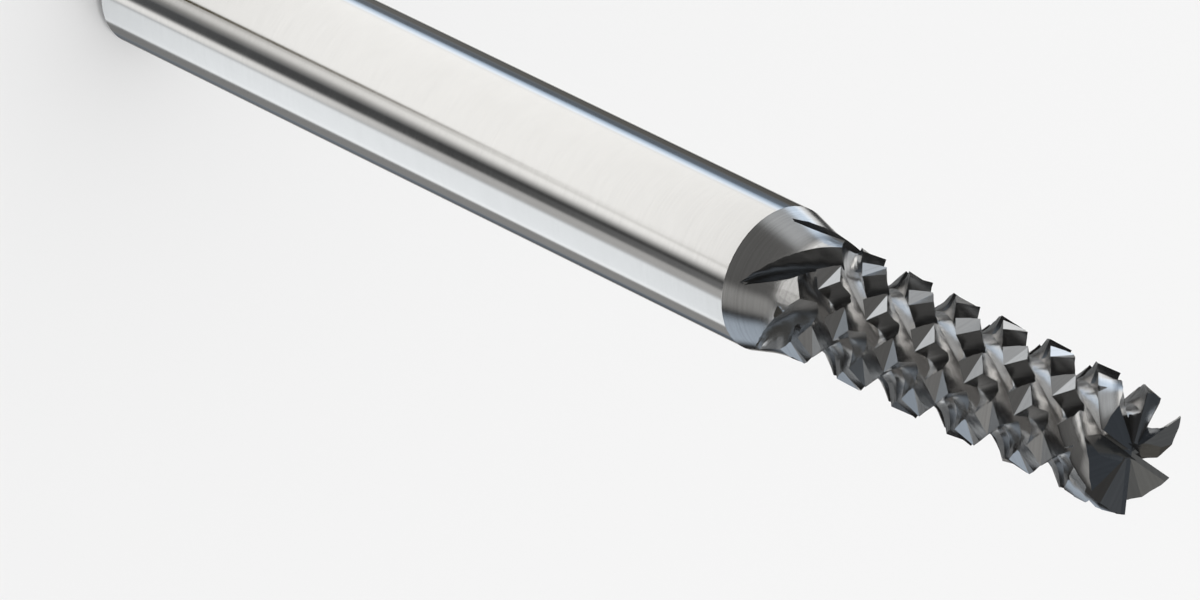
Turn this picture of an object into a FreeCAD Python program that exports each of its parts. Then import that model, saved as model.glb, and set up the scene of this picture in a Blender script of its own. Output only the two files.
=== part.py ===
"""Six-flute end mill with chip-breaker notches, in millimetres.

The shank's flat end lies on z = 0 and the cutting end points along +Z.  Angles are
azimuths about the tool's axis, in degrees, counter-clockwise seen from the cutting end.
Six right-hand flutes and five left-hand notch grooves share one lead, so the lands
between them are rows of diamond-shaped teeth.
"""

import FreeCAD, Part
import math
import os
import Sketcher
from FreeCAD import Vector

# Driving sizes

SIZES = [
    ("overall_length", 57.0, "tip to shank end"),
    ("shank_diameter", 6.0, "clamped in the holder"),
    ("shank_length", 37.2, "up to the start of the neck cone"),
    ("shank_chamfer", 0.35, "on the shank end's rim"),
    ("cutting_diameter", 5.07, "of the blank, before the teeth are ground"),
    ("neck_angle", 15.0, "cone from the shank to the cutting part"),
    ("neck_blend_radius", 6.0, "hollow between the cone and the cutting part"),
    ("lead", 15.5, "axial rise in one turn, both hands"),
    ("flute_count", 6, "right-hand flutes"),
    ("flute_gap", 29.0, "angle from a cutting edge to the next heel"),
    ("flute_edge_angle", 236.0, "first blade's cutting edge at the tip"),
    ("flute_wall_depth", 0.88, "foot of the rake face"),
    ("flute_depth", 1.24, "deepest point, before the heel"),
    ("flute_floor_share", 0.68, "share of the gap up to the deepest point"),
    ("flute_runout_start", 4.8, "above the shank, where a flute begins to rise"),
    ("flute_runout_end", 2.4, "above the shank, on the neck"),
    ("flute_runout_over", 0.05, "rise of the floor beyond the cutting part's surface"),
    ("notch_count", 5, "left-hand grooves"),
    ("notch_gap", 41.0, "angle across a groove"),
    ("notch_edge_angle", 134.0, "first groove's edge, carried on to the tip"),
    ("notch_wall_depth", 0.86, "foot of the groove's steep wall"),
    ("notch_floor_depth", 0.70, "middle of the groove's floor"),
    ("notch_floor_share", 0.5, "share of the gap up to the floor's end"),
    ("notch_stop", 0.5, "below the tip, where the first groove has left the tool"),
    ("notch_runout_start", 2.8, "above the shank, where a groove begins to rise"),
    ("notch_runout_end", 0.6, "above the shank, on the cone"),
    ("notch_runout_lift", 1.22, "rise of the floor along the run-out"),
    ("notch_runout_share", 0.25, "share of the gap left where the run-out ends"),
    ("notch_runout_middle", 0.4, "share of the gap that the run-out narrows towards"),
    ("tooth_inset", 0.02, "ground off the blank at a tooth's edges"),
    ("tooth_drop", 0.13, "a tooth's back corner below its edges"),
    ("blade_drop", 0.20, "a plain blade's heel below its edge"),
    ("dish_angle", 5.6, "hollow of the end face"),
    ("end_edge_lag", 2.0, "end edge's angle behind the flute's edge"),
    ("end_primary_width", 0.22, "strip behind an end edge"),
    ("end_primary_angle", 8.0, "fall of that strip"),
    ("end_secondary_angle", 14.5, "fall of the plane behind it"),
    ("gash_inner_radius", 0.7, "where a gash starts"),
    ("gash_inner_depth", 0.45, "gash at its start, below the tip"),
    ("gash_outer_depth", 1.2, "gash at the rim, below the tip"),
    ("gash_heel_depth", 0.42, "gash at the heel of the blade ahead, below the tip"),
    ("gash_heel_lag", 33.0, "angle of that heel behind its own end edge"),
    ("centre_blade", 1, "one of the two blades that cut to the axis"),
    ("centre_gash_reach", 1.15, "how far its gash runs past the axis"),
    ("centre_gash_depth", 1.3, "its gash at the rim"),
    ("centre_gash_offset", 0.15, "half the web left at the axis"),
    ("centre_gash_angle", 50.0, "between the gash's two faces"),
    ("wall_share", 0.06, "share of a groove's gap that its steep wall takes"),
    ("tooth_margin", 0.6, "between the flutes' run-out and the lowest ground tooth"),
    ("turn_step", 10.0, "turn between two sections of a groove"),
]

doc = FreeCAD.newDocument("end_mill")
sheet = doc.addObject("Spreadsheet::Sheet", "Sizes")
for row, (alias, number, note) in enumerate(SIZES, start=1):
    sheet.set(f"A{row}", alias)
    sheet.set(f"B{row}", str(number))
    sheet.set(f"C{row}", note)
    sheet.setAlias(f"B{row}", alias)
doc.recompute()


def size(alias):
    """Return one of the sheet's numbers."""
    return float(getattr(sheet, alias))


TIP = size("overall_length")
SHANK_TOP = size("shank_length")
RADIUS = size("cutting_diameter") / 2
LEAD = size("lead")
TURN = 360 / LEAD
FLUTES = int(size("flute_count"))
NOTCHES = int(size("notch_count"))
FLUTE_PITCH = 360 / FLUTES
NOTCH_PITCH = 360 / NOTCHES
FLUTE_GAP = size("flute_gap")
NOTCH_GAP = size("notch_gap")
FLUTE_LAND = FLUTE_PITCH - FLUTE_GAP
NOTCH_LAND = NOTCH_PITCH - NOTCH_GAP
# Axial distance between two teeth that follow each other round the tool.
TOOTH_STEP = (NOTCH_PITCH - FLUTE_PITCH) / (2 * TURN)

# How far cutters stand past the surfaces that they cut
PAST_RIM = 0.4
PAST_TIP = 0.5
PAST_END = 1.0
PAST_CORNER = 0.13
PAST_SIDES = 0.35
PAST_BLANK = 0.6
PAST_LAND_ANGLE = 3.0
# Corner of an end wedge, as a multiple of the cutting radius.
PAST_SECTOR = 1.4

# A notch groove leaves the tool below the tip: its last section stands clear of the blank.
LEAVING_LIFT = 0.15
LEAVING_LENGTH = 0.01


def polar(radius, angle, height):
    """Point at a radius, an azimuth in degrees and a height."""
    a = math.radians(angle)
    return Vector(radius * math.cos(a), radius * math.sin(a), height)


def faceted_solid(points, facets):
    """Solid bounded by the given triangles, with its coplanar ones joined."""
    shell = Part.Shape()
    shell.makeShapeFromMesh((points, facets), 0.0005)
    solid = Part.makeSolid(Part.Shell(shell.Faces))
    return solid if solid.Volume > 0 else solid.reversed()


def screw_sweep(section, start_angle, hand, low, high, lift, width=lambda z: 1.0, middle=0.0):
    """Sweep a closed section of (radius, angle) points along the lead.

    The section lies across the axis, with its angles counted from start_angle.  hand is 1
    for right-hand and -1 for left-hand, and low and high are heights.  lift(height) moves
    the whole section outwards, and width(height) is the share of its angles that is left,
    on both sides of the middle angle.
    """
    step = size("turn_step") / TURN
    count = max(2, math.ceil((high - low) / step))
    heights = [low + (high - low) * i / count for i in range(count + 1)]
    n = len(section)
    points = []
    for z in heights:
        turn = start_angle + hand * TURN * (z - TIP)
        rise, share = lift(z), width(z)
        points += [polar(r + rise, middle + (a - middle) * share + turn, z) for r, a in section]
    facets = []
    for i in range(count):
        for j in range(n):
            a, b = i * n + j, i * n + (j + 1) % n
            c, d = b + n, a + n
            facets += [(a, b, c), (a, c, d)]
    caps = [(0, j + 1, j) for j in range(1, n - 1)]
    top = count * n
    caps += [(top, top + j, top + j + 1) for j in range(1, n - 1)]
    return faceted_solid(points, facets + caps)


def run_out(start, end, lift):
    """Outward move of a groove's section: none above start, then an arc up to lift."""
    radius = ((start - end) ** 2 + lift ** 2) / (2 * lift)

    def rise(z):
        if z >= start:
            return 0.0
        return radius - math.sqrt(radius ** 2 - (start - z) ** 2)

    return rise


def copies(shape, count, pitch):
    """The shape and its copies, each turned back by one pitch more."""
    turned = []
    for i in range(count):
        one = shape.copy()
        one.rotate(Vector(), Vector(0, 0, 1), -pitch * i)
        turned.append(one)
    return turned


# Turned blank

def make_blank():
    """Shank, neck cone, hollow blend and cutting part, turned from one outline."""
    body = doc.addObject("PartDesign::Body", "Blank")
    sketch = body.newObject("Sketcher::SketchObject", "BlankOutline")
    plane = next(f for f in body.Origin.OriginFeatures if f.Role == "XZ_Plane")
    sketch.AttachmentSupport = [(plane, "")]
    sketch.MapMode = "FlatFace"
    shank = size("shank_diameter") / 2
    start = size("shank_length")
    slope = math.radians(size("neck_angle"))
    blend = size("neck_blend_radius")
    reach = blend * math.tan(slope / 2)
    meet = start + (shank - RADIUS) / math.tan(slope)
    arc_low = (RADIUS + reach * math.sin(slope), meet - reach * math.cos(slope))
    arc_high = (RADIUS, meet + reach)
    dish = RADIUS * math.tan(math.radians(size("dish_angle")))
    chamfer = size("shank_chamfer")
    half = "Sizes.shank_diameter / 2"
    cut = "Sizes.cutting_diameter / 2"
    reach_x = "Sizes.neck_blend_radius * tan(Sizes.neck_angle * 1 deg / 2)"
    meet_x = f"Sizes.shank_length + ({half} - {cut}) / tan(Sizes.neck_angle * 1 deg)"
    low_x = f"{cut} + {reach_x} * sin(Sizes.neck_angle * 1 deg)"
    low_y = f"{meet_x} - {reach_x} * cos(Sizes.neck_angle * 1 deg)"
    top_x = f"Sizes.overall_length - {cut} * tan(Sizes.dish_angle * 1 deg)"
    corners = [
        ("end_centre", 0, 0, None, None),
        ("end_rim", shank - chamfer, 0, f"{half} - Sizes.shank_chamfer", None),
        ("chamfer_top", shank, chamfer, half, "Sizes.shank_chamfer"),
        ("cone_start", shank, start, half, "Sizes.shank_length"),
        ("cone_end", *arc_low, low_x, low_y),
        ("blend_end", *arc_high, cut, f"{meet_x} + {reach_x}"),
        ("corner", RADIUS, TIP, cut, "Sizes.overall_length"),
        ("dish_centre", 0, TIP - dish, None, top_x),
    ]
    centre = Vector(RADIUS + blend, arc_high[1], 0)
    for i, (name, x, y, *_) in enumerate(corners):
        nx, ny = corners[(i + 1) % len(corners)][1:3]
        if name == "cone_end":
            circle = Part.Circle(centre, Vector(0, 0, 1), blend)
            sketch.addGeometry(Part.ArcOfCircle(circle, math.pi, math.pi + slope))
        else:
            sketch.addGeometry(Part.LineSegment(Vector(x, y, 0), Vector(nx, ny, 0)))
    return body, sketch, corners, blend


body, outline, corners, blend = make_blank()
arc_index = [c[0] for c in corners].index("cone_end")


def corner_vertex(i):
    """Vertex of the i-th edge that lies on the i-th corner; the arc runs backwards."""
    return 2 if i == arc_index else 1


for i, (name, x, y, x_rule, y_rule) in enumerate(corners):
    vertex = corner_vertex(i)
    before = (i - 1) % len(corners)
    outline.addConstraint(
        Sketcher.Constraint("Coincident", before, 3 - corner_vertex(before), i, vertex))
    for axis, number, rule in (("X", x, x_rule), ("Y", y, y_rule)):
        index = outline.addConstraint(
            Sketcher.Constraint(f"Distance{axis}", -1, 1, i, vertex, float(number)))
        if rule:
            outline.renameConstraint(index, f"{name}_{axis.lower()}")
            outline.setExpression(f"Constraints.{name}_{axis.lower()}", rule)
index = outline.addConstraint(Sketcher.Constraint("Radius", arc_index, blend))
outline.renameConstraint(index, "neck_blend")
outline.setExpression("Constraints.neck_blend", "Sizes.neck_blend_radius")
doc.recompute()
turned = body.newObject("PartDesign::Revolution", "TurnedBlank")
turned.Profile = outline
turned.ReferenceAxis = (outline, ["V_Axis"])
turned.Angle = 360
doc.recompute()


def joined(name, solids):
    """Document object that holds a group of cutters."""
    feature = doc.addObject("Part::Feature", name)
    feature.Shape = Part.makeCompound(solids)
    return feature


def cut(name, base, tool):
    """Document object with every cutter of a group taken out of the base."""
    left = base.Shape.cut(tool.Shape.Solids)
    if len(left.Solids) != 1 or not left.isValid():
        raise RuntimeError(f"{name} isn't one valid solid")
    feature = doc.addObject("Part::Feature", name)
    feature.Shape = left.Solids[0]
    return feature


# Grooves of both hands

CLEARANCE = (size("shank_diameter") - size("cutting_diameter")) / 2 + PAST_RIM


def groove_section(gap, wall_depth, floor_share, floor_depth):
    """Closed outline across a groove, with angles counted from its cutting edge.

    The steep wall drops under the edge, the floor runs to floor_share of the gap, and
    the far wall climbs out.  Both walls carry on past the rim.
    """
    wall = size("wall_share") * gap
    out = CLEARANCE
    rise = (1 - floor_share) * gap * out / floor_depth
    return [
        (RADIUS + out, -wall * out / wall_depth),
        (RADIUS, 0),
        (RADIUS - wall_depth, wall),
        (RADIUS - floor_depth, floor_share * gap),
        (RADIUS, gap),
        (RADIUS + out, gap + rise),
    ]


def make_flutes():
    """Six right-hand flutes that run out short of the neck."""
    section = groove_section(
        FLUTE_GAP, size("flute_wall_depth"), size("flute_floor_share"), size("flute_depth"))
    low = SHANK_TOP + size("flute_runout_end")
    climb = size("flute_depth") + size("flute_runout_over")
    lift = run_out(SHANK_TOP + size("flute_runout_start"), low, climb)
    flute = screw_sweep(section, size("flute_edge_angle"), 1, low, TIP + PAST_TIP, lift)
    return joined("FluteCutters", copies(flute, FLUTES, FLUTE_PITCH))


def make_notches():
    """Five left-hand grooves; each climbs out one tooth step further from the tip."""
    section = groove_section(
        NOTCH_GAP, size("notch_wall_depth"), size("notch_floor_share"), size("notch_floor_depth"))
    low = SHANK_TOP + size("notch_runout_end")
    start = SHANK_TOP + size("notch_runout_start")
    lift = run_out(start, low, size("notch_runout_lift"))

    def width(z):
        return 1 - (1 - size("notch_runout_share")) * max(0.0, start - z) / (start - low)

    middle = size("notch_runout_middle") * NOTCH_GAP
    grooves = []
    for i in range(NOTCHES):
        angle = size("notch_edge_angle") - i * NOTCH_PITCH
        high = TIP - size("notch_stop") - i * TOOTH_STEP
        clear = size("notch_wall_depth") + LEAVING_LIFT

        def lift_or_leave(z, top=high):
            return clear if z > top - LEAVING_LENGTH else lift(z)

        grooves.append(
            screw_sweep(section, angle, -1, low, high, lift_or_leave, width, middle))
    return joined("NotchCutters", grooves)


# Tops of the teeth and of the plain blades

def tooth_wedge(angle, height):
    """Obtuse wedge that leaves two flat facets and a crease on a tooth's top.

    The crease runs across the tooth from its low back corner to its front corner, and
    the facets climb from it to the corners on the two sides.
    """
    half_turn = FLUTE_LAND / 2
    half_rise = half_turn / TURN
    radius = RADIUS - size("tooth_inset")
    front = polar(radius, angle + half_turn, 0)
    back = polar(radius - size("tooth_drop"), angle - half_turn, 0)
    along = Vector(front - back).normalize()
    up = Vector(along.y, -along.x, 0)
    climb = (polar(radius, angle, 0) - back).dot(up)
    reach = half_rise + PAST_SIDES
    lid = up * (climb * reach / half_rise)
    start = back - along * PAST_CORNER + Vector(0, 0, height)
    corners = [start, start + lid - Vector(0, 0, reach), start + lid + Vector(0, 0, reach)]
    face = Part.Face(Part.makePolygon(corners + corners[:1]))
    return face.extrude(along * ((front - back).Length + 2 * PAST_CORNER))


def make_teeth():
    """Wedges for every whole tooth between the plain blades and the neck."""
    flute_land = size("flute_edge_angle") - FLUTE_LAND / 2
    notch_land = size("notch_edge_angle") - NOTCH_LAND / 2
    depth = (flute_land - notch_land) / (2 * TURN)
    angle = (flute_land + notch_land) / 2
    wedges = []
    lowest = SHANK_TOP + size("flute_runout_end") + size("tooth_margin")
    while TIP - depth > lowest:
        wedges.append(tooth_wedge(angle, TIP - depth))
        depth += TOOTH_STEP
        angle -= (FLUTE_PITCH + NOTCH_PITCH) / 2
    return joined("ToothCutters", wedges)


def make_blades():
    """Relief behind the cutting edge of each plain blade, down to its first notch."""
    radius = RADIUS - size("tooth_inset")
    edge = polar(radius, 0, 0)
    heel = polar(radius - size("blade_drop"), -FLUTE_LAND, 0)
    past = Vector(heel - edge).normalize() * PAST_CORNER
    near, far = edge - past, heel + past
    outline = [
        (far.Length, math.degrees(math.atan2(far.y, far.x))),
        (RADIUS + PAST_BLANK, -FLUTE_LAND - PAST_LAND_ANGLE),
        (RADIUS + PAST_BLANK, PAST_LAND_ANGLE),
        (near.Length, math.degrees(math.atan2(near.y, near.x))),
    ]
    flute_land = size("flute_edge_angle") - FLUTE_LAND / 2
    notch_middle = size("notch_edge_angle") + NOTCH_GAP / 2
    depth = (flute_land - notch_middle) / (2 * TURN)
    strips = []
    for i in range(FLUTES):
        start = size("flute_edge_angle") - i * FLUTE_PITCH
        low = TIP - depth - i * TOOTH_STEP
        strips.append(screw_sweep(outline, start, 1, low, TIP + PAST_TIP, lambda z: 0.0))
    return joined("BladeCutters", strips)


# End face

def half_space_wedge(corners, plane_point, normal):
    """Upright three-sided block whose floor is the given plane."""
    top = TIP + PAST_END
    floor = []
    for x, y in corners:
        fall = (x - plane_point.x) * normal.x + (y - plane_point.y) * normal.y
        floor.append(Vector(x, y, plane_point.z - fall / normal.z))
    lid = [Vector(x, y, top) for x, y in corners]
    facets = [(0, 2, 1), (3, 4, 5)]
    for a in range(3):
        b = (a + 1) % 3
        facets += [(a, b, b + 3), (a, b + 3, a + 3)]
    return faceted_solid(floor + lid, facets)


def plane_through(a, b, c):
    """A point of the plane through three points, and its upward normal."""
    normal = (b - a).cross(c - a).normalize()
    return a, normal if normal.z > 0 else normal * -1


def blade_end_wedges(angle):
    """Relief of one end edge, and the back of the gash in front of the blade behind."""
    dish = RADIUS * math.tan(math.radians(size("dish_angle")))
    centre = Vector(0, 0, TIP - dish)
    corner = polar(RADIUS, angle, TIP)
    backwards = polar(1, angle - 90, 0)
    reach = RADIUS * PAST_SECTOR
    sector = [(0.0, 0.0), *[tuple(polar(reach, a, 0))[:2] for a in (angle - FLUTE_PITCH, angle)]]
    primary = math.tan(math.radians(size("end_primary_angle")))
    secondary = math.tan(math.radians(size("end_secondary_angle")))
    strip = size("end_primary_width")
    wedges = []
    behind = backwards * 1 - Vector(0, 0, primary)
    wedges.append(half_space_wedge(sector, *plane_through(centre, corner, corner + behind)))
    shift = behind * strip
    behind = backwards * 1 - Vector(0, 0, secondary)
    wedges.append(half_space_wedge(
        sector, *plane_through(centre + shift, corner + shift, corner + shift + behind)))
    gash_start = polar(size("gash_inner_radius"), angle - FLUTE_PITCH, TIP - size("gash_inner_depth"))
    gash_end = polar(RADIUS, angle - FLUTE_PITCH, TIP - size("gash_outer_depth"))
    heel = polar(RADIUS, angle - size("gash_heel_lag"), TIP - size("gash_heel_depth"))
    wedges.append(half_space_wedge(sector, *plane_through(gash_start, gash_end, heel)))
    return wedges


def centre_gash(angle):
    """Long V groove in front of a centre-cutting blade, from the rim past the axis."""
    reach, depth = size("centre_gash_reach"), size("centre_gash_depth")
    web = size("centre_gash_offset")
    out = polar(1, angle, 0)
    ahead = polar(1, angle + 90, 0)
    slope = depth / (RADIUS + reach)
    swing = web / RADIUS
    spread = math.tan(math.radians(size("centre_gash_angle")))

    def section(r):
        foot = out * r + ahead * (web - swing * r) + Vector(0, 0, TIP - slope * (r + reach))
        lid = TIP + PAST_RIM - foot.z
        return [foot, foot + ahead * (spread * lid) + Vector(0, 0, lid), foot + Vector(0, 0, lid)]

    ends = section(-reach) + section(RADIUS + PAST_RIM)
    facets = [(0, 2, 1), (3, 4, 5)]
    for a in range(3):
        b = (a + 1) % 3
        facets += [(a, b, b + 3), (a, b + 3, a + 3)]
    return faceted_solid(ends, facets)


def make_end():
    """Everything that is ground into the end face."""
    first = size("flute_edge_angle") - size("end_edge_lag")
    wedges = []
    for i in range(FLUTES):
        wedges += blade_end_wedges(first - i * FLUTE_PITCH)
    return joined("EndCutters", wedges)


def make_centre_gashes():
    """The two long gashes, half a turn apart."""
    first = size("flute_edge_angle") - size("end_edge_lag")
    blade = first - size("centre_blade") * FLUTE_PITCH
    return joined("CentreGashCutters", [centre_gash(blade), centre_gash(blade + 180)])


steps = [
    ("FlutedBlank", make_flutes),
    ("NotchedBlank", make_notches),
    ("ToothedBlank", make_teeth),
    ("RelievedBlank", make_blades),
    ("FacedBlank", make_end),
    ("end_mill", make_centre_gashes),
]
stage = body
for name, make in steps:
    stage = cut(name, stage, make())

stage.Label = "end_mill"
stage.Placement = FreeCAD.Placement()
doc.recompute()
for part in doc.Objects:
    if "Invalid" in part.State or "Error" in part.State:
        raise RuntimeError(f"{part.Name} failed: {part.State}")
if stage.Shape.isNull() or not stage.Shape.isValid() or len(stage.Shape.Solids) != 1:
    raise RuntimeError("end_mill isn't one valid solid")
os.makedirs("parts", exist_ok=True)
stage.Shape.exportStep("parts/end_mill.step")
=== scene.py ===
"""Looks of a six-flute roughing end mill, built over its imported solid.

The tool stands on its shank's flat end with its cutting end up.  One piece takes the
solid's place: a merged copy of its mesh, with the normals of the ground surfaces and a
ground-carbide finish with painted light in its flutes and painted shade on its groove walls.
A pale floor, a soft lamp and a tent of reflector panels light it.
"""

import logging
import math
from dataclasses import dataclass, field
from enum import Enum
from typing import Any, Optional, Union

import bmesh
import bpy
import numpy as np
from mathutils import Matrix, Vector

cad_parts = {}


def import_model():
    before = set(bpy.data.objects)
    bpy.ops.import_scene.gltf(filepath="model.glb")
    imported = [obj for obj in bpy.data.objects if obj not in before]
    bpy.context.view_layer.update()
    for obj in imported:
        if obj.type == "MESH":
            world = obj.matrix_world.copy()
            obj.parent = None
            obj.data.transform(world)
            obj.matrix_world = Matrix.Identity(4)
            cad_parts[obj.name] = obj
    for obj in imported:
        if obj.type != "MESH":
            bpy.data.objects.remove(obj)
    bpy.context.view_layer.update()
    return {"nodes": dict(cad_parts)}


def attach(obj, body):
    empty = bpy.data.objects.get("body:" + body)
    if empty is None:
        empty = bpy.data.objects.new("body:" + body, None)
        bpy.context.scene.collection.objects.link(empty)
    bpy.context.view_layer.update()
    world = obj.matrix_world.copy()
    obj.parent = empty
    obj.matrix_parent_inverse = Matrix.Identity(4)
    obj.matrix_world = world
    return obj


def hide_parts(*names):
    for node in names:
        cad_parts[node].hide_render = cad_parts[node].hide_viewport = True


logging.basicConfig(level=logging.INFO, format="%(name)s: %(message)s")
LOG = logging.getLogger("end_mill")

MM = 0.001
NODE = "end_mill"
GRAIN = "grain"

# Driving sizes of the tool, in millimetres and degrees

TIP = 57.0
LEAD = 15.5
SHANK_RADIUS = 3.0
SHANK_TOP = 37.2
SHANK_CHAMFER = 0.35
NECK_ANGLE = 15.0
BLEND_RADIUS = 6.0
BLANK_RADIUS = 2.535
TOOTH_INSET = 0.02
FLUTE_COUNT = 6
FLUTE_EDGE = 236.0
FLUTE_GAP = 29.0
FLUTE_DEPTH = 1.24
NOTCH_COUNT = 5
NOTCH_EDGE = 134.0
NOTCH_GAP = 41.0
BLADE_DROP = 0.20
# Share of a groove's gap that its steep wall takes.
WALL_SHARE = 0.06
# How far a groove's outline is carried on past the blank.
PAST_RIM = 0.865
# Distance given to what lies off a surface.
FAR = 9.0


# Shader maths


class Link:
    """A node socket that takes part in Python expressions."""

    def __init__(self, shader: "Shader", socket: Any) -> None:
        """Keep the socket and the shader that it belongs to."""
        self.shader = shader
        self.socket = socket

    def _math(self, operation: str, *values: Any) -> "Link":
        """Add a Math node.

        Args:
            operation: the node's operation.
            values: links or numbers for its sockets.

        Returns:
            The node's result.
        """
        inputs = dict(enumerate(values))
        return self.shader.add("ShaderNodeMath", {"operation": operation}, inputs)

    def __add__(self, other: Any) -> "Link":
        """Return self + other."""
        return self._math("ADD", self, other)

    def __radd__(self, other: Any) -> "Link":
        """Return other + self."""
        return self._math("ADD", other, self)

    def __sub__(self, other: Any) -> "Link":
        """Return self - other."""
        return self._math("SUBTRACT", self, other)

    def __rsub__(self, other: Any) -> "Link":
        """Return other - self."""
        return self._math("SUBTRACT", other, self)

    def __mul__(self, other: Any) -> "Link":
        """Return self * other."""
        return self._math("MULTIPLY", self, other)

    def __rmul__(self, other: Any) -> "Link":
        """Return other * self."""
        return self._math("MULTIPLY", other, self)

    def __truediv__(self, other: Any) -> "Link":
        """Return self / other."""
        return self._math("DIVIDE", self, other)

    def call(self, operation: str, *others: Any) -> "Link":
        """Return any other one-result Math operation on this value."""
        return self._math(operation, self, *others)

    def ramp(self, low: float, high: float) -> "Link":
        """Return a smooth step from 0 at low to 1 at high."""
        settings = {"interpolation_type": "SMOOTHSTEP"}
        return self.shader.add("ShaderNodeMapRange", settings, {0: self, 1: low, 2: high})


class Shader:
    """Adds nodes to one material."""

    def __init__(self, tree: bpy.types.NodeTree) -> None:
        """Start from an empty node tree."""
        self.tree = tree
        tree.nodes.clear()

    def add(self, kind: str, settings: Optional[dict[str, Any]] = None,
            inputs: Optional[dict[Any, Any]] = None, output: Any = 0) -> Link:
        """Add a node.

        Args:
            kind: the node's type.
            settings: properties to set first.
            inputs: values or links for its sockets, by name or number.
            output: name or number of the socket to return.

        Returns:
            The chosen output.
        """
        node = self.tree.nodes.new(kind)
        for name, value in (settings or {}).items():
            setattr(node, name, value)
        for name, value in (inputs or {}).items():
            if isinstance(value, Link):
                self.tree.links.new(value.socket, node.inputs[name])
            else:
                node.inputs[name].default_value = value
        return Link(self, node.outputs[output] if node.outputs else None)

    def surface(self, link: Link) -> None:
        """Send a shader to the material's output."""
        self.add("ShaderNodeOutputMaterial", {}, {"Surface": link})

    def mix_colour(self, factor: Any, a: Any, b: Any) -> Link:
        """Blend two colours."""
        return self.add("ShaderNodeMix", {"data_type": "RGBA"}, {0: factor, 6: a, 7: b}, 2)

    def split(self, vector: Link) -> list[Link]:
        """Return a vector's three parts."""
        parts = self.add("ShaderNodeSeparateXYZ", {}, {0: vector})
        return [Link(self, socket) for socket in parts.socket.node.outputs]

    def join(self, x: Any, y: Any, z: Any) -> Link:
        """Return a vector made of three values."""
        return self.add("ShaderNodeCombineXYZ", {}, {0: x, 1: y, 2: z})

    def noise(self, vector: Link, scale: float, detail: float) -> Link:
        """Return a noise value around 0.5 over a vector."""
        inputs = {"Vector": vector, "Scale": scale, "Detail": detail}
        return self.add("ShaderNodeTexNoise", {}, inputs, "Fac")


def new_material(name: str) -> tuple[bpy.types.Material, Shader]:
    """Make a material and the helper that fills it.

    Args:
        name: the material's name.

    Returns:
        The material and its shader.
    """
    material = bpy.data.materials.new(name)
    material.use_nodes = True
    return material, Shader(material.node_tree)


# Finish, with painted light and shade


class Ground(Enum):
    """How a stretch of the tool's surface was made, as the grain's third value."""

    FACET = 0
    TURNED = 1
    FLUTE = 2
    NOTCH = 3
    LAND = 4

    def onwards(self, kind: Link) -> Link:
        """Return 1 on this and the later members, 0 on the earlier ones."""
        halfway = self.value - 0.5
        return kind.ramp(halfway - 0.1, halfway + 0.1)


@dataclass(frozen=True)
class GrindingMarks:
    """Noise drawn out along the grinding lines, with its steps to the millimetre."""

    across: float
    along: float
    apart: float
    detail: float

    def draw(self, shader: Shader, across: Link, along: Link, kind: Link) -> Link:
        """Return the marks over the grain's three values, around 0.5."""
        place = shader.join(across * self.across, along * self.along, kind * self.apart)
        return shader.noise(place, 1.0, self.detail)


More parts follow.
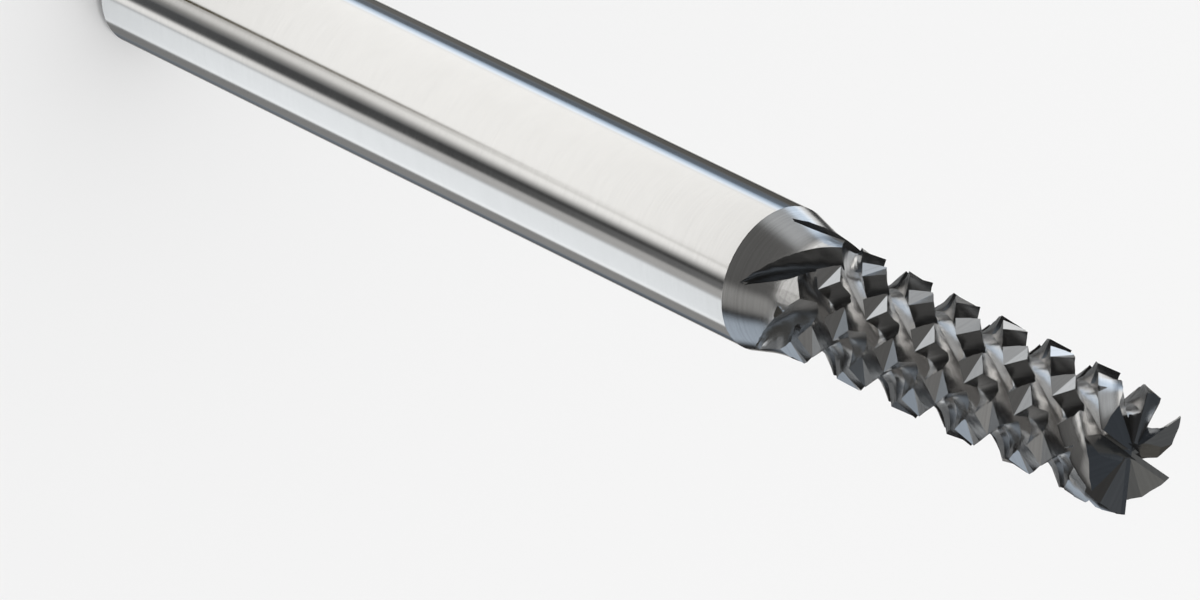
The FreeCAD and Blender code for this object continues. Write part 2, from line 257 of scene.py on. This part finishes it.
@dataclass(frozen=True)
class GroundCarbide:
    """Grey cemented carbide: polished shank, ground cone, grooves and facets.

    Painted light makes a flute paler from the rim to its bottom, both of them distances from
    the tool's axis.  Painted shade makes a groove's wall darkest at the rake's edge, and it
    loses that by the rake's foot, both of them in millimetres across the groove's outline.
    """

    colour: tuple[float, float, float, float] = (0.62, 0.62, 0.62, 1.0)
    # Painted light: a flute's colour turns towards this paler one from the rim to the bottom.
    painted_flute_light_colour: tuple[float, float, float, float] = (0.83, 0.82, 0.81, 1.0)
    # Colour that the painted shade on the groove walls and the random tone darken towards.
    black: tuple[float, float, float, float] = (0.0, 0.0, 0.0, 1.0)
    rim: float = 2.45 * MM
    bottom: float = 1.45 * MM
    # Painted shade on the groove walls: its strength, and where across the outline it is full and
    # where it has faded, in mm.
    painted_rake_shade_strength: float = 0.62
    rake_edge: float = 0.10
    rake_foot: float = 0.80
    brightness: float = 0.93
    cloud_shade: float = 0.10
    streak_shade: float = 0.30

    shank_top: float = SHANK_TOP * MM
    shank_rim: float = 0.02 * MM
    shank_roughness: float = 0.10
    ground_roughness: float = 0.20
    groove_roughness: float = 0.22
    line_roughness: float = 0.10
    cloud_roughness: float = 0.05

    lines: GrindingMarks = GrindingMarks(across=34.0, along=0.9, apart=7.3, detail=3.0)
    streaks: GrindingMarks = GrindingMarks(across=7.0, along=0.08, apart=3.1, detail=2.0)
    cloud_scale: float = 900.0
    cloud_detail: float = 3.0
    shank_lines: float = 0.12
    ground_lines: float = 0.5
    ground_streaks: float = 1.2
    groove_streaks: float = 2.5
    mark_strength: float = 0.25
    mark_depth: float = 0.006 * MM

    def build(self) -> bpy.types.Material:
        """Lay the finish, its painted light and its painted shade out on Object coordinates and
        the grain.

        Returns:
            The material.
        """
        material, shader = new_material("ground_carbide")
        place = shader.add("ShaderNodeTexCoord", output="Object")
        x, y, z = shader.split(place)
        grain = shader.add("ShaderNodeAttribute", {"attribute_name": GRAIN}, output="Vector")
        across, along, kind = shader.split(grain)
        radius = (x * x + y * y).call("SQRT")
        ground = z.ramp(self.shank_top - self.shank_rim, self.shank_top + self.shank_rim)
        groove = Ground.FLUTE.onwards(kind) * (1 - Ground.LAND.onwards(kind))
        flute = groove * (1 - Ground.NOTCH.onwards(kind))

        lines = self.lines.draw(shader, across, along, kind)
        streaks = self.streaks.draw(shader, across, along, kind)
        cloud = shader.noise(place, self.cloud_scale, self.cloud_detail)

        # Painted light: the flute grows paler with depth.
        painted_flute_light = radius.ramp(self.rim, self.bottom) * flute
        tone_with_painted_light = shader.mix_colour(painted_flute_light, self.colour, self.painted_flute_light_colour)
        # Painted shade: the groove wall is darkest at the rake's edge and clear by its foot.
        painted_rake_shade = groove * (1 - across.ramp(self.rake_edge, self.rake_foot)) * self.painted_rake_shade_strength
        wear = self.brightness + (cloud - 0.5) * self.cloud_shade
        wear = wear + (streaks - 0.5) * ground * self.streak_shade
        # share mixes the random tone and streaks with the painted shade on the groove walls.
        share = (wear * (1 - painted_rake_shade)).call("MINIMUM", 1.0)
        colour = shader.mix_colour(share, self.black, tone_with_painted_light)

        rough = self.shank_roughness + ground * (self.ground_roughness - self.shank_roughness)
        rough = rough + groove * (self.groove_roughness - self.ground_roughness)
        rough = rough + (lines - 0.5) * self.line_roughness
        rough = rough + (cloud - 0.5) * self.cloud_roughness

        height = lines * (self.shank_lines + ground * self.ground_lines)
        height = height + streaks * (ground * self.ground_streaks + groove * self.groove_streaks)
        bump = shader.add("ShaderNodeBump", {}, {
            "Strength": self.mark_strength, "Distance": self.mark_depth, "Height": height})
        metal = shader.add("ShaderNodeBsdfPrincipled", {}, {
            "Base Color": colour, "Metallic": 1.0, "Roughness": rough, "Normal": bump})
        shader.surface(metal)
        return material


# Ground surfaces, in millimetres and degrees


@dataclass
class Side:
    """One ground side, measured at a set of points."""

    distance: np.ndarray
    normal: np.ndarray
    share: np.ndarray
    grain: np.ndarray


def unit(rows: np.ndarray) -> np.ndarray:
    """Return the rows scaled to length one."""
    return rows / np.maximum(np.linalg.norm(rows, axis=1), 1e-12)[:, None]


@dataclass(frozen=True)
class RunOut:
    """Where a groove's floor climbs out of the neck, on an arc, and the groove narrows.

    The share is what is left of its width at the end, and the middle is the angle that it
    narrows towards.
    """

    start: float
    end: float
    lift: float
    share: float = 1.0
    middle: float = 0.0

    def rise(self, z: np.ndarray) -> np.ndarray:
        """Follow the arc that the floor climbs on.

        Args:
            z: heights.

        Returns:
            How far the floor has climbed at each of them.
        """
        radius = ((self.start - self.end) ** 2 + self.lift ** 2) / (2 * self.lift)
        down = np.clip(self.start - z, 0.0, self.start - self.end)
        return radius - np.sqrt(radius ** 2 - down ** 2)

    def width(self, z: np.ndarray) -> np.ndarray:
        """Return the share of the groove's width that is left at each height."""
        down = np.clip(self.start - z, 0.0, self.start - self.end)
        return 1 - (1 - self.share) * down / (self.start - self.end)


@dataclass(frozen=True)
class Screw:
    """Surfaces ground along the lead: copies of one outline of (radius, angle) points.

    The edge is the angle of the first copy at the tip, and none of them goes below the low
    height.  Two sides that meet at a soft corner share their mean normal there.
    """

    hand: int
    count: int
    edge: float
    outline: tuple[tuple[float, float], ...]
    run_out: Optional[RunOut] = None
    soft_corners: tuple[int, ...] = ()
    low: float = 0.0
    soft_share: float = 0.07
    step: float = 0.01
    lines_radius: float = 2.0

    def corners(self, z: np.ndarray, copy: int) -> list[np.ndarray]:
        """Place one copy of the outline.

        Args:
            z: heights.
            copy: number of the copy.

        Returns:
            Each corner as x and y columns, a row for each height.
        """
        turn = self.edge - copy * 360 / self.count + self.hand * 360 / LEAD * (z - TIP)
        rise, share, middle = 0.0, 1.0, 0.0
        if self.run_out:
            rise, share, middle = self.run_out.rise(z), self.run_out.width(z), self.run_out.middle
        places = []
        for radius, angle in self.outline:
            a = np.radians(middle + (angle - middle) * share + turn)
            places.append(np.stack([(radius + rise) * np.cos(a), (radius + rise) * np.sin(a)], 1))
        return places

    def sides(self, points: np.ndarray) -> list[Side]:
        """Measure points against every side of every copy.

        Args:
            points: x, y, z rows.

        Returns:
            What each side is like at the points.
        """
        found = []
        level, z = points[:, :2], points[:, 2]
        run = z * math.hypot(1.0, math.tau * self.lines_radius / LEAD)
        for copy in range(self.count):
            here, above = self.corners(z, copy), self.corners(z + self.step, copy)
            flats = []
            before = 0.0
            for k in range(len(self.outline) - 1):
                a, b = here[k], here[k + 1]
                d = b - a
                length = np.maximum(np.linalg.norm(d, axis=1), 1e-6)
                t = np.clip(((level - a) * d).sum(1) / length ** 2, 0.0, 1.0)
                nearest = a + d * t[:, None]
                distance = np.linalg.norm(level - nearest, axis=1) + FAR * (z < self.low)
                later = above[k] * (1 - t)[:, None] + above[k + 1] * t[:, None]
                climb = (later - nearest) / self.step
                across = np.concatenate([d, np.zeros((len(d), 1))], 1)
                along = np.concatenate([climb, np.ones((len(d), 1))], 1)
                flats.append(Side(distance, unit(np.cross(across, along)), t,
                                  np.stack([before + t * length, run], 1)))
                before = before + length
            for k in self.soft_corners:
                self.soften(flats[k - 1], flats[k])
            found += flats
        return found

    def soften(self, first: Side, second: Side) -> None:
        """Give two sides their mean normal where they meet.

        Args:
            first: the side that ends at the corner.
            second: the side that starts there.
        """
        mean = unit(first.normal + second.normal)
        ending = first.share > 1 - self.soft_share
        starting = second.share < self.soft_share
        first.normal[ending] = mean[ending]
        second.normal[starting] = mean[starting]


@dataclass(frozen=True)
class Turned:
    """The turned blank: chamfered shank, neck cone and the hollow blend above it.

    The blend ends where its normal leans up by more than its limit.
    """

    chamfer_radius: float = SHANK_RADIUS - SHANK_CHAMFER
    touch_radius: float = BLANK_RADIUS + BLEND_RADIUS * (1 - math.cos(math.radians(NECK_ANGLE)))
    blend_limit: float = 0.27
    lines_radius: float = 2.5

    def touch_height(self) -> float:
        """Return the height at which the cone runs into the blend."""
        return SHANK_TOP + (SHANK_RADIUS - self.touch_radius) / math.tan(math.radians(NECK_ANGLE))

    def outline(self) -> list[np.ndarray]:
        """Lay out the straight stretches, from the bottom to the top.

        Returns:
            Their corners as (radius, height).
        """
        corners = (
            (0.0, 0.0), (self.chamfer_radius, 0.0), (SHANK_RADIUS, SHANK_CHAMFER),
            (SHANK_RADIUS, SHANK_TOP), (self.touch_radius, self.touch_height()),
        )
        return [np.array(corner) for corner in corners]

    def sides(self, points: np.ndarray) -> list[Side]:
        """Measure points against every turned face.

        Args:
            points: x, y, z rows.

        Returns:
            What each face is like at the points.
        """
        radius = np.maximum(np.hypot(points[:, 0], points[:, 1]), 1e-9)
        out = points[:, :2] / radius[:, None]
        flat = np.stack([radius, points[:, 2]], 1)
        run = np.arctan2(out[:, 1], out[:, 0]) * self.lines_radius
        grain = np.stack([points[:, 2] - radius, run], 1)
        found = []
        corners = self.outline()
        for a, b in zip(corners, corners[1:]):
            d = b - a
            t = np.clip((flat - a) @ d / (d @ d), 0.0, 1.0)
            distance = np.linalg.norm(flat - a - t[:, None] * d, axis=1)
            side = np.array([d[1], -d[0]]) / np.linalg.norm(d)
            normal = np.column_stack([out * side[0], np.full(len(out), side[1])])
            found.append(Side(distance, normal, t, grain))
        rise = BLEND_RADIUS * math.sin(math.radians(NECK_ANGLE))
        centre = np.array([BLANK_RADIUS + BLEND_RADIUS, self.touch_height() + rise])
        arm = centre - flat
        reach = np.linalg.norm(arm, axis=1)
        side = arm / reach[:, None]
        distance = np.abs(reach - BLEND_RADIUS)
        distance[(flat[:, 1] > centre[1]) | (side[:, 1] > self.blend_limit)] = FAR
        normal = np.column_stack([out * side[:, :1], side[:, 1]])
        found.append(Side(distance, normal, radius, grain))
        return found


def groove(gap: float, wall_depth: float, floor_share: float,
           floor_depth: float) -> tuple[tuple[float, float], ...]:
    """Return a groove's outline, from beyond its cutting edge to beyond its far rim.

    Args:
        gap: angle from the cutting edge to the far rim.
        wall_depth: depth of the steep wall's foot.
        floor_share: share of the gap up to the floor's end.
        floor_depth: depth there.

    Returns:
        Corners as (radius, angle).
    """
    wall = WALL_SHARE * gap
    return (
        (BLANK_RADIUS + PAST_RIM, -wall * PAST_RIM / wall_depth),
        (BLANK_RADIUS, 0.0),
        (BLANK_RADIUS - wall_depth, wall),
        (BLANK_RADIUS - floor_depth, floor_share * gap),
        (BLANK_RADIUS, gap),
        (BLANK_RADIUS + PAST_RIM, gap + (1 - floor_share) * gap * PAST_RIM / floor_depth),
    )


BLANK = Turned()
FLUTES = Screw(
    hand=1, count=FLUTE_COUNT, edge=FLUTE_EDGE,
    outline=groove(FLUTE_GAP, wall_depth=0.88, floor_share=0.68, floor_depth=FLUTE_DEPTH),
    run_out=RunOut(start=SHANK_TOP + 4.8, end=SHANK_TOP + 2.4, lift=FLUTE_DEPTH + 0.05),
    soft_corners=(1, 4),
)
NOTCHES = Screw(
    hand=-1, count=NOTCH_COUNT, edge=NOTCH_EDGE,
    outline=groove(NOTCH_GAP, wall_depth=0.86, floor_share=0.5, floor_depth=0.70),
    run_out=RunOut(start=SHANK_TOP + 2.8, end=SHANK_TOP + 0.6, lift=1.22, share=0.25,
                   middle=0.4 * NOTCH_GAP),
    soft_corners=(1, 3, 4),
)
LANDS = Screw(
    hand=1, count=FLUTE_COUNT, edge=FLUTE_EDGE, low=TIP - 2.8,
    outline=((BLANK_RADIUS - TOOTH_INSET, 0.0),
             (BLANK_RADIUS - TOOTH_INSET - BLADE_DROP, FLUTE_GAP - 360 / FLUTE_COUNT)),
)


@dataclass(frozen=True)
class GroundShading:
    """Gives each face corner the normal and the grain of the surface that it lies on."""

    surfaces: tuple[tuple[Ground, Union[Turned, Screw]], ...] = (
        (Ground.TURNED, BLANK), (Ground.FLUTE, FLUTES), (Ground.NOTCH, NOTCHES),
        (Ground.LAND, LANDS),
    )
    reach: float = 0.075
    agreement: float = 0.9

    def apply(self, mesh: bpy.types.Mesh) -> None:
        """Set the mesh's corner normals and its grain attribute.

        The grain's x runs across the grinding lines and its y along them, in
        millimetres; z is the number of the kind of surface.

        Args:
            mesh: triangles in metres.
        """
        places = np.empty(len(mesh.vertices) * 3)
        mesh.vertices.foreach_get("co", places)
        places = places.reshape(-1, 3) / MM
        corners = np.empty(len(mesh.loops), dtype=np.int32)
        mesh.loops.foreach_get("vertex_index", corners)
        corners = corners.reshape(-1, 3)
        a, b, c = (places[corners[:, i]] for i in range(3))
        flat = unit(np.cross(b - a, c - a))
        normals = np.repeat(flat[:, None, :], 3, axis=1)
        grain = self.facet_grain(places[corners], flat)
        best = np.full(len(corners), self.agreement)
        for kind, surface in self.surfaces:
            for side in surface.sides(places):
                ideal = side.normal[corners]
                match = (unit(ideal.mean(axis=1)) * flat).sum(axis=1)
                near = side.distance[corners].max(axis=1) < self.reach
                good = near & (np.abs(match) > best)
                normals[good] = ideal[good] * np.sign(match[good])[:, None, None]
                grain[good, :, :2] = side.grain[corners][good]
                grain[good, :, 2] = kind.value
                best[good] = np.abs(match[good])
        LOG.info("%d of %d faces are curved", int((best > self.agreement).sum()), len(best))
        lines = mesh.attributes.new(GRAIN, "FLOAT_VECTOR", "CORNER")
        lines.data.foreach_set("vector", grain.astype(np.float32).ravel())
        mesh.normals_split_custom_set(normals.reshape(-1, 3).tolist())

    @staticmethod
    def facet_grain(corners: np.ndarray, flat: np.ndarray) -> np.ndarray:
        """Lay the lines of flat facets across the tool's axis.

        Args:
            corners: each face's three corners.
            flat: each face's normal.

        Returns:
            The grain at the corners.
        """
        along = unit(np.cross(flat, np.array([0.0, 0.0, 1.0])) + np.array([1e-6, 0.0, 0.0]))
        across = np.cross(along, flat)
        grain = np.full(corners.shape, float(Ground.FACET.value))
        grain[:, :, 0] = (corners * across[:, None, :]).sum(axis=2)
        grain[:, :, 1] = (corners * along[:, None, :]).sum(axis=2)
        return grain


# Tool


@dataclass
class EndMill:
    """The ground tool, as a dressed copy of its solid."""

    finish_with_painted_light: GroundCarbide = field(default_factory=GroundCarbide)
    shading: GroundShading = field(default_factory=GroundShading)
    weld: float = 0.0005 * MM

    def build(self, node: bpy.types.Object) -> bpy.types.Object:
        """Copy, merge and dress the solid's mesh.

        Args:
            node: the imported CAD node.

        Returns:
            The piece that replaces it.
        """
        shape = bmesh.new()
        shape.from_mesh(node.data)
        bmesh.ops.remove_doubles(shape, verts=shape.verts, dist=self.weld)
        for edge in shape.edges:
            edge.smooth = False
        for face in shape.faces:
            face.smooth = True
        mesh = bpy.data.meshes.new("ground_end_mill")
        shape.to_mesh(mesh)
        shape.free()
        self.shading.apply(mesh)
        mesh.materials.append(self.finish_with_painted_light.build())
        piece = bpy.data.objects.new("ground_end_mill", mesh)
        bpy.context.collection.objects.link(piece)
        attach(piece, "root")
        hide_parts(NODE)
        return piece


# Studio


class Sees(Enum):
    """Rays that may meet a studio piece."""

    REFLECTIONS = ("glossy",)
    ALL_BUT_REFLECTIONS = ("camera", "diffuse", "transmission", "shadow", "volume_scatter")

    def apply(self, piece: bpy.types.Object) -> None:
        """Hide a piece from every other kind of ray.

        Args:
            piece: the studio piece.
        """
        for rays in Sees:
            for kind in rays.value:
                setattr(piece, f"visible_{kind}", rays is self)


def stage_mesh(name: str, shape: bmesh.types.BMesh, material: bpy.types.Material,
               sees: Sees, height: float = 0.0) -> None:
    """Turn a finished shape into a piece of the studio.

    Args:
        name: the piece's name.
        shape: its shape, which is freed.
        material: its material.
        sees: the rays that may meet it.
        height: how high it stands.
    """
    mesh = bpy.data.meshes.new(name)
    shape.to_mesh(mesh)
    shape.free()
    mesh.materials.append(material)
    piece = bpy.data.objects.new(name, mesh)
    piece.location = (0, 0, height)
    bpy.context.collection.objects.link(piece)
    sees.apply(piece)


WHITE = (1.0, 1.0, 1.0)
WARM = (1.0, 0.985, 0.955)
COOL = (0.95, 0.98, 1.0)
BLUE = (0.80, 0.92, 1.06)
SKY = (0.70, 0.87, 1.08)
OLIVE = (1.06, 1.0, 0.86)
ALL_ROUND = 180.0


@dataclass(frozen=True)
class Panel:
    """A soft-edged reflector on the tent round the tool, with its angles in degrees.

    A flag is a panel of negative brightness, which darkens the panels that it overlaps.
    """

    azimuth: float
    half_width: float
    low: float
    high: float
    brightness: float
    soft: float
    soft_height: float
    tint: tuple[float, float, float] = WHITE

    def glow(self, east: Link, north: Link, height: Link) -> Link:
        """Return the panel's light over the tent.

        Args:
            east: x part of the level direction.
            north: y part of the level direction.
            height: elevation in radians.

        Returns:
            Its brightness there.
        """
        low, high = math.radians(self.low), math.radians(self.high)
        edge = math.radians(self.soft_height)
        above = height.ramp(low - edge, low + edge)
        below = 1 - height.ramp(high - edge, high + edge)
        return above * below * self.width_share(east, north) * self.brightness

    def width_share(self, east: Link, north: Link) -> Any:
        """Find out how far each direction lies within the panel's width.

        Args:
            east: x part of the level direction.
            north: y part of the level direction.

        Returns:
            1 within the width and 0 beyond it.
        """
        if self.half_width >= ALL_ROUND:
            return 1.0
        a = math.radians(self.azimuth)
        facing = east * math.cos(a) + north * math.sin(a)
        outer = math.cos(math.radians(min(self.half_width + self.soft, ALL_ROUND)))
        inner = math.cos(math.radians(max(self.half_width - self.soft, 0.0)))
        return facing.ramp(outer, inner)


@dataclass(frozen=True)
class Tent:
    """The tent of reflectors; only the tool's reflections meet it.

    A panel's line gives its azimuth, half width, lowest and highest elevation, brightness,
    softness across and up, and tint.
    """

    radius: float = 0.6
    height: float = 30 * MM
    segments: int = 64
    rings: int = 32
    glow: tuple[float, float, float] = (0.019, 0.0182, 0.0177)
    panels: tuple[Panel, ...] = (
        # Bright band round the tool, with its flags
        Panel(-38, 71, -46.2, -37.5, 1.43, 9, 2.5, WARM),
        Panel(-113, 5, -46, -38, 0.85, 4, 3, SKY),
        Panel(-127, 8, -46, -36, 0.12, 5, 3, SKY),
        Panel(-144, 10, -46, -36, 0.08, 5, 3, OLIVE),
        Panel(93, 24, -46.2, -37.5, 1.28, 4, 2.5, COOL),
        Panel(61, 6, -46.2, -37.5, 0.55, 3, 2.5, WARM),
        Panel(62, 4, -50, -43.2, 0.80, 3, 1.2, WARM),
        Panel(14, 1.2, -50, -42.0, -1.15, 1.5, 0.8),
        Panel(24, 10, -50, -42.0, -0.40, 5, 0.8),
        Panel(128, 12, -45, -33, 0.32, 9, 6, WARM),
        Panel(149, 7, -46, -36, 0.13, 5, 3, SKY),
        Panel(180, 12, -46, -32, 0.86, 9, 4, WARM),
        Panel(18, 1.5, -50, -30, -0.25, 1.5, 4),
        Panel(49, 4, -41.2, -34, 0.13, 3, 0.5),
        # Low cards
        Panel(-84, 36, -75, -52, 0.85, 12, 6, COOL),
        Panel(-26, 26, -75, -58, 0.52, 12, 8, COOL),
        Panel(38, 24, -75, -50, 0.22, 12, 6, BLUE),
        Panel(97, 9, -66, -50, 0.22, 6, 5, COOL),
        Panel(180, ALL_ROUND, -78, -44, 0.16, 0, 8, COOL),
        # Side cards
        Panel(-118, 10, -36, -12, 0.85, 7, 6, SKY),
        Panel(-133, 7, -34, -14, 1.00, 6, 5, WARM),
        Panel(-92, 26, -33, -3, 0.50, 14, 4, COOL),
        Panel(-22, 62, -37, 5, 0.13, 30, 6, WARM),
        Panel(54, 14, -36, -4, 0.33, 9, 5, WARM),
        Panel(110, 24, -33, -10, 0.60, 10, 4, BLUE),
        Panel(-145, 9, -22, 14, 0.55, 6, 8, COOL),
        # Dim upper cards
        Panel(130, 36, -10, 50, 0.09, 20, 10, OLIVE),
        Panel(152, 14, 38, 54, 0.09, 10, 8, OLIVE),
        Panel(180, 75, 4, 80, 0.05, 16, 8, SKY),
        Panel(180, ALL_ROUND, 62, 90, 0.04, 0, 6, WARM),
        Panel(-5, 20, 24, 36, 0.24, 14, 5, BLUE),
    )

    def material(self) -> bpy.types.Material:
        """Add the panels' light to the cloth's.

        Returns:
            The tent's material.
        """
        material, shader = new_material("reflector_tent")
        place = shader.add("ShaderNodeTexCoord", output="Object")
        x, y, z = shader.split(place)
        level = (x * x + y * y).call("SQRT").call("MAXIMUM", 0.1 * MM)
        height = z.call("ARCTAN2", level)
        east, north = x / level, y / level
        light = shader.join(*self.glow)
        for panel in self.panels:
            light = shader.add("ShaderNodeVectorMath", {"operation": "MULTIPLY_ADD"}, {
                0: panel.glow(east, north, height), 1: panel.tint, 2: light})
        shader.surface(shader.add("ShaderNodeEmission", {}, {"Color": light}))
        return material

    def build(self) -> None:
        """Hang the tent round the tool."""
        shape = bmesh.new()
        bmesh.ops.create_uvsphere(
            shape, u_segments=self.segments, v_segments=self.rings, radius=self.radius)
        bmesh.ops.reverse_faces(shape, faces=shape.faces)
        stage_mesh("reflector_tent", shape, self.material(), Sees.REFLECTIONS, self.height)


@dataclass(frozen=True)
class Lamp:
    """A square lamp that faces the tool."""

    azimuth: float = 150.0
    elevation: float = 60.0
    distance: float = 1.5
    size: float = 0.8
    power: float = 6.5
    target_height: float = 40 * MM

    def build(self) -> None:
        """Hang the lamp."""
        a, e = math.radians(self.azimuth), math.radians(self.elevation)
        target = Vector((0, 0, self.target_height))
        out = Vector((math.cos(a) * math.cos(e), math.sin(a) * math.cos(e), math.sin(e)))
        data = bpy.data.lights.new("key_lamp", "AREA")
        data.size = self.size
        data.energy = self.power
        lamp = bpy.data.objects.new("key_lamp", data)
        lamp.location = target + out * self.distance
        lamp.rotation_euler = (-out).to_track_quat("-Z", "Y").to_euler()
        lamp.visible_glossy = False
        bpy.context.collection.objects.link(lamp)


@dataclass(frozen=True)
class Viewpoint:
    """The photograph's camera, worked out in the tool's own axes.

    The sight is where the camera sees the shank's shoulder, in its own axes and in
    millimetres.
    """

    right: tuple[float, float, float] = (-0.58795, -0.43883, 0.67952)
    up: tuple[float, float, float] = (0.28063, -0.89853, -0.33746)
    shoulder_height: float = 36.9 * MM
    sight: tuple[float, float, float] = (6.714, 0.937, -490.9)
    sensor: float = 36.0
    lens: float = 377.5
    nearest: float = 0.01

    def build(self) -> None:
        """Set the scene's camera."""
        data = bpy.data.cameras.new("camera")
        data.sensor_width = self.sensor
        data.lens = self.lens
        data.clip_start = self.nearest
        right, up = Vector(self.right), Vector(self.up)
        turn = Matrix((right, up, right.cross(up))).transposed()
        shoulder = Vector((0, 0, self.shoulder_height))
        camera = bpy.data.objects.new("camera", data)
        place = shoulder - turn @ (Vector(self.sight) * MM)
        camera.matrix_world = Matrix.Translation(place) @ turn.to_4x4()
        bpy.context.collection.objects.link(camera)
        bpy.context.scene.camera = camera


@dataclass(frozen=True)
class Studio:
    """Floor, tent, lamp, world and camera."""

    floor_half: float = 1.2
    floor_tone: float = 0.86
    world_glow: float = 0.84
    tent: Tent = Tent()
    lamp: Lamp = Lamp()
    viewpoint: Viewpoint = Viewpoint()

    def floor(self) -> None:
        """Lay the pale floor."""
        shape = bmesh.new()
        bmesh.ops.create_grid(shape, x_segments=1, y_segments=1, size=self.floor_half)
        material, shader = new_material("pale_floor")
        colour = (self.floor_tone, self.floor_tone, self.floor_tone, 1.0)
        shader.surface(shader.add("ShaderNodeBsdfDiffuse", {}, {"Color": colour}))
        stage_mesh("floor", shape, material, Sees.ALL_BUT_REFLECTIONS)

    def world(self) -> None:
        """Give the surroundings a plain soft light."""
        world = bpy.data.worlds.new("studio")
        world.use_nodes = True
        bpy.context.scene.world = world
        shader = Shader(world.node_tree)
        glow = shader.add("ShaderNodeBackground", {}, {
            "Color": (*WHITE, 1.0), "Strength": self.world_glow})
        shader.add("ShaderNodeOutputWorld", {}, {"Surface": glow})

    def build(self) -> None:
        """Build the whole studio."""
        self.floor()
        self.tent.build()
        self.world()
        self.lamp.build()
        self.viewpoint.build()


def main() -> None:
    """Load the frame, dress the tool, log its face count and light it."""
    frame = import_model()
    bpy.context.scene.view_settings.view_transform = "Standard"
    piece = EndMill().build(frame["nodes"][NODE])
    LOG.info("%s has %d faces", piece.name, len(piece.data.polygons))
    Studio().build()


if __name__ == "__main__":
    main()
